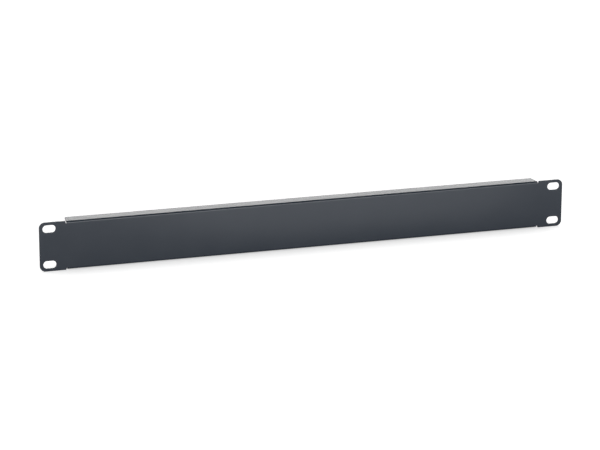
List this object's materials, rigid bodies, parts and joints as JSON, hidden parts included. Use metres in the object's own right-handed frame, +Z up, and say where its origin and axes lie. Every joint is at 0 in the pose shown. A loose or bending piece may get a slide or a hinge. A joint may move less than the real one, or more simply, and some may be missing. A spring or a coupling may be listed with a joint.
{
  "type": "rack blanking panel",
  "caption": "Folded steel blanking panel for a 19 inch rack, one unit high, with slotted ears and flanges folded back along its top and bottom edges.",
  "frame": {"origin": "centre of the four screw slots, on the plane of the ears' rear faces, where the panel seats on the rack rails", "axes": "+X along the panel's length, to the right as seen from the front; +Y into the rack, away from the visible face; +Z up"},
  "size_m": [0.4826, 0.0138, 0.0436],
  "materials": {
    "powder_coat": "satin graphite powder coat, very fine texture"
  },
  "bodies": {
    "root": {"blanking_panel": "powder_coat"}
  },
  "joints": []
}
